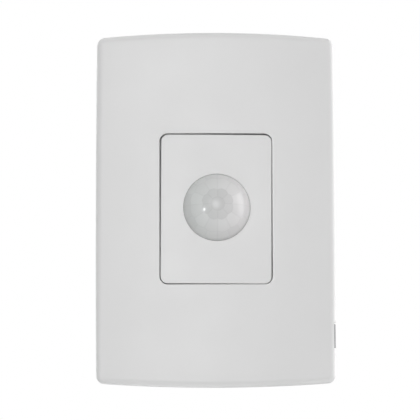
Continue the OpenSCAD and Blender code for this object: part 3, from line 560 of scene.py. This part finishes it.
def make_lens():
    """The dome with its lenslets, and the lip that the retainer presses on."""
    angles = [2 * math.pi * i / LENS_AROUND for i in range(LENS_AROUND)]
    dome = [math.pi / 2 * i / LENS_DOWN for i in range(LENS_DOWN)]
    dome.append(math.pi / 2 - math.asin((LENS_SEAT_Z - LENS_Z) / LENS_R))
    bm = bmesh.new()
    tone = bm.verts.layers.float_color.new("lenslet")
    rings = bm.verts.layers.float.new("ring")
    rows = []
    for a in dome:
        made = []
        for t in angles:
            d = Vector((math.sin(a) * math.cos(t), math.sin(a) * math.sin(t), math.cos(a)))
            ring, number, edge, middle = lenslet(d)
            groove = math.exp(-(edge / LENS_LINE) ** 2)
            r = LENS_R - LENS_GROOVE * groove
            v = bm.verts.new(row((LENS_X + r * d.x, LENS_Y + r * d.y, LENS_Z + r * d.z)))
            # Painted shade: the dome's colour darkens towards its rim
            rim_shade = min(1.0, max(0.0, (LENS_RIM_SHADE_FROM - d.z) / (LENS_RIM_SHADE_FROM - LENS_RIM_SHADE_TO)))
            level = LENS_LEVELS[ring] * (1 + LENS_SPREAD * (chance(ring, number) - 0.5))
            level = level * (1 - LENS_LINE_DARK * groove) * (1 - LENS_RIM_SHADE * rim_shade)
            # Painted reflection tint: greener on the dome's left side, pinker towards its right
            reflected_left = 0.5 - 0.5 * max(-1.0, min(1.0, d.x * LENS_REFLECTED_TINT_SLOPE))
            v[tone] = (*(level * (1 + share * reflected_left + right_tint * (1 - reflected_left)) for share, right_tint in LENS_REFLECTED_TINT), 1)
            v[rings] = 2 * math.pi * middle / LENS_PITCH
            made.append(v)
        rows.append(made)
    inner_r = LENS_R - LENS_T
    foot = math.sqrt(inner_r ** 2 - (LENS_BACK_Z - LENS_Z) ** 2)
    lip = [(LENS_LIP_R - LIP_CHAMFER, LENS_SEAT_Z), (LENS_LIP_R, LENS_SEAT_Z - LIP_CHAMFER),
           (LENS_LIP_R, LENS_BACK_Z), (foot, LENS_BACK_Z)]
    start = math.asin((LENS_BACK_Z - LENS_Z) / inner_r)
    sweep = [start + i / LENS_INSIDE * (math.pi / 2 - start) for i in range(1, LENS_INSIDE + 1)]
    lip += [(inner_r * math.cos(a), LENS_Z + inner_r * math.sin(a)) for a in sweep]
    for r, z in lip:
        made = []
        for t in angles:
            v = bm.verts.new(row((LENS_X + r * math.cos(t), LENS_Y + r * math.sin(t), z)))
            v[tone] = (LENS_LEVELS[0], LENS_LEVELS[0], LENS_LEVELS[0], 1)
            made.append(v)
        rows.append(made)
    for first, second in zip(rows, rows[1:]):
        bridge(bm, first, second)
    obj = object_of("lens_dome", bm)
    dress(obj, "base", "milky_lens", "fresnel_lens")


def thread(bm, x, y, top, bottom, d, pitch, depth, tip, count=40):
    """A screw's threaded shank from top down to a chamfered tip, as one closed skin."""
    steps = int((top - bottom) / pitch * THREAD_RINGS)
    rings = [[(x, y, top)] * count]
    for k in range(steps + 1):
        z = top + (bottom - top) * k / steps
        taper = min(1.0, (top - z) / pitch) * min(1.0, (z - bottom) / pitch)
        ring = []
        for i in range(count):
            t = 2 * math.pi * i / count
            phase = ((top - z) / pitch + i / count) % 1.0
            flank = abs(2 * phase - 1) * FLANK_SLOPE - FLANK_CREST
            r = d / 2 - depth * taper * min(1.0, max(0.0, flank))
            r = min(r, d / 2 - tip + max(0.0, z - bottom))
            ring.append((x + r * math.cos(t), y + r * math.sin(t), z))
        rings.append(ring)
    rings.append([(x, y, bottom)] * count)
    skin(bm, rings)


def make_box_screws():
    """Two slotted pan-head screws with cut threads."""
    places = (-BOX_PITCH / 2, BOX_PITCH / 2)
    head_r, neck_r = BOX_HEAD_D / 2, BOX_NECK_D / 2
    crown = [(head_r * math.cos(a), FRAME_T + HEAD_RIM + (BOX_HEAD_H - HEAD_RIM) * math.sin(a))
             for a in (math.pi / 2 * i / CROWN_STEPS for i in range(CROWN_STEPS + 1))]
    rim = [(0, FRAME_T), (head_r - HEAD_CHAMFER, FRAME_T), (head_r, FRAME_T + HEAD_CHAMFER)]
    bm = bmesh.new()
    for y in places:
        turn(bm, rim + crown, 0, y, count=64)
    obj = object_of("box_screw_pair", bm)
    slots = bmesh.new()
    for y in places:
        block(slots, (-BOX_HEAD_D, y - SLOT_HALF, FRAME_T + SLOT_FLOOR),
              (BOX_HEAD_D, y + SLOT_HALF, FRAME_T + 2 * BOX_HEAD_H))
    cut(obj, slots)
    bm = reopen(obj)
    root, shoulder = FRAME_T + NECK_REACH, BOX_NECK_END + NECK_CHAMFER
    for y in places:
        turn(bm, [(0, root), (neck_r, root), (neck_r, shoulder), (neck_r - NECK_CHAMFER, BOX_NECK_END),
                  (0, BOX_NECK_END)], 0, y)
        thread(bm, 0, y, shoulder, -BOX_LEN - BOX_TIP, BOX_THREAD_D, THREAD_PITCH, THREAD_DEPTH, BOX_TIP)
    settle(bm, obj.data)
    dress(obj, "base", "zinc_steel", "box_screws", sharp=30)


make_plate()
make_bezel()
make_lens()
make_box_screws()

# Solids that stay: a finish each, and soft edges where they can be seen
SLOTS = {part["node"]: part["material_slot"] for part in frame["record"]["subparts"]}
SOFT_EDGES = {"support_frame": 0.25, "rear_case": 0.3, "case_screws": 0.12, "lens_retainer": 0.15,
              "time_trimmer_dial": 0.1, "lux_trimmer_dial": 0.1, "relay": 0.3, "dropper_capacitor": 0.4}
for pole in (1, 2, 3):
    SOFT_EDGES.update({f"terminal_housing_{pole}": 0.2, f"terminal_cage_{pole}": 0.12,
                       f"terminal_screw_{pole}": 0.15})
for name, obj in frame["nodes"].items():
    obj.data.materials.clear()
    obj.data.materials.append(MATERIALS[SLOTS[name]])
    if name in SOFT_EDGES:
        weld = obj.modifiers.new("weld", "WELD")
        weld.merge_threshold = SOLID_WELD
        plain = obj.modifiers.new("plain faces", "DECIMATE")
        plain.decimate_type, plain.angle_limit = "DISSOLVE", math.radians(FLAT_ANGLE)
        bevel = obj.modifiers.new("soft edge", "BEVEL")
        bevel.width, bevel.segments = SOFT_EDGES[name] / 1000, 2
        bevel.limit_method, bevel.angle_limit = "ANGLE", math.radians(SOFT_ANGLE)
        bevel.harden_normals = True


# Stage, light and camera

def area_light(name, place, energy, size, shape="RECTANGLE", glint=False):
    """A soft lamp that looks at the switch; a glint lamp shows only in reflections."""
    data = bpy.data.lights.new(name, "AREA")
    data.energy, data.shape = energy, shape
    data.size, data.size_y = size
    lamp = bpy.data.objects.new(name, data)
    lamp.location = place
    lamp.rotation_euler = (-Vector(place)).to_track_quat("-Z", "Y").to_euler()
    lamp.visible_diffuse = not glint
    scene.collection.objects.link(lamp)


def seen_directly(tree):
    """1 on rays from the camera, in reflections and through glass, and 0 on those that only bring light."""
    path = tree.nodes.new("ShaderNodeLightPath")
    seen = path.outputs["Is Camera Ray"]
    for kind in ("Is Glossy Ray", "Is Transmission Ray"):
        most = tree.nodes.new("ShaderNodeMath")
        most.operation = "MAXIMUM"
        tree.links.new(seen, most.inputs[0])
        tree.links.new(path.outputs[kind], most.inputs[1])
        seen = most.outputs["Value"]
    return seen


def level_of(tree, seen, low, high):
    """A strength that is low on rays that bring light and high on those that are seen."""
    level = tree.nodes.new("ShaderNodeMapRange")
    level.inputs["To Min"].default_value, level.inputs["To Max"].default_value = low, high
    tree.links.new(seen, level.inputs["Value"])
    return level.outputs["Result"]


def make_floor():
    """A pale floor far below the switch, close to white where it is seen."""
    bm = bmesh.new()
    corners = ((-1, -1), (1, -1), (1, 1), (-1, 1))
    bm.faces.new([bm.verts.new((x * FLOOR_HALF, y * FLOOR_HALF, FLOOR_Z)) for x, y in corners])
    floor = object_of("floor", bm)
    mat, bsdf = shader("floor_pale", Roughness=0.8, Emission_Color=(1, 1, 1, 1))
    tone = ramp(mat, noise(mat, 400), (NOISE_LOW, (0.78, 0.78, 0.78)), (NOISE_HIGH, (0.82, 0.82, 0.82)))
    mat.node_tree.links.new(tone, bsdf.inputs["Base Color"])
    glow = level_of(mat.node_tree, seen_directly(mat.node_tree), 0.0, FLOOR_GLOW)
    mat.node_tree.links.new(glow, bsdf.inputs["Emission Strength"])
    floor.data.materials.append(mat)


def make_world():
    """White to the camera and in reflections, and a plain level of light on the object."""
    world = bpy.data.worlds.new("studio")
    world.use_nodes = True
    tree = world.node_tree
    back = tree.nodes["Background"]
    back.inputs["Color"].default_value = (1, 1, 1, 1)
    tree.links.new(level_of(tree, seen_directly(tree), AMBIENT, 1.0), back.inputs["Strength"])
    scene.world = world


def make_camera():
    """The photo's view: long lens, slightly from below and from the left."""
    data = bpy.data.cameras.new("camera")
    data.sensor_fit, data.sensor_width = "HORIZONTAL", SENSOR
    data.lens = CAM_FOCAL * SENSOR / IMAGE
    data.shift_x, data.shift_y = (IMAGE / 2 - CAM_CENTRE[0]) / IMAGE, (CAM_CENTRE[1] - IMAGE / 2) / IMAGE
    data.clip_start, data.clip_end = CAM_CLIP
    camera = bpy.data.objects.new("camera", data)
    az, el = math.radians(CAM_AZ), math.radians(CAM_EL)
    camera.location = Vector((math.sin(az) * math.cos(el), -math.cos(az) * math.cos(el), math.sin(el))) * CAM_FAR
    look = (-camera.location).to_track_quat("-Z", "Y").to_matrix().to_4x4()
    turned = look @ Matrix.Rotation(math.radians(CAM_ROLL), 4, "Z")
    camera.rotation_euler = turned.to_euler()
    scene.collection.objects.link(camera)
    scene.camera = camera


make_floor()
make_world()
make_camera()
# Lamps: place in metres, watts and size; left_fill, right_panel and the edge lamps stand behind the plate's front
area_light("key", (-0.223, -1.048, 0.247), 2.1, (0.65, 0.55))
area_light("front", (-0.06, -1.07, 0.09), 3.2, (0.45, 0.45))
area_light("low_fill", (0.046, -0.325, -0.526), 0.45, (0.7, 0.3))
area_light("top_fill", (-0.048, -0.269, 0.752), 0.7, (0.8, 0.5))
area_light("left_fill", (-0.72, 0.55, 0.12), 2.4, (0.8, 0.8))
area_light("right_panel", (0.85, 0.27, 0.12), 8.8, (1.05, 0.9))
area_light("under_edge", (-0.04, 0.09, -0.6), 0.5, (0.08, 0.08))
area_light("over_edge", (-0.25, 0.15, 0.56), 0.4, (0.1, 0.1))
area_light("glint", (-0.623, -0.634, -0.144), 1.9, (0.085, 0.085), "ELLIPSE", glint=True)
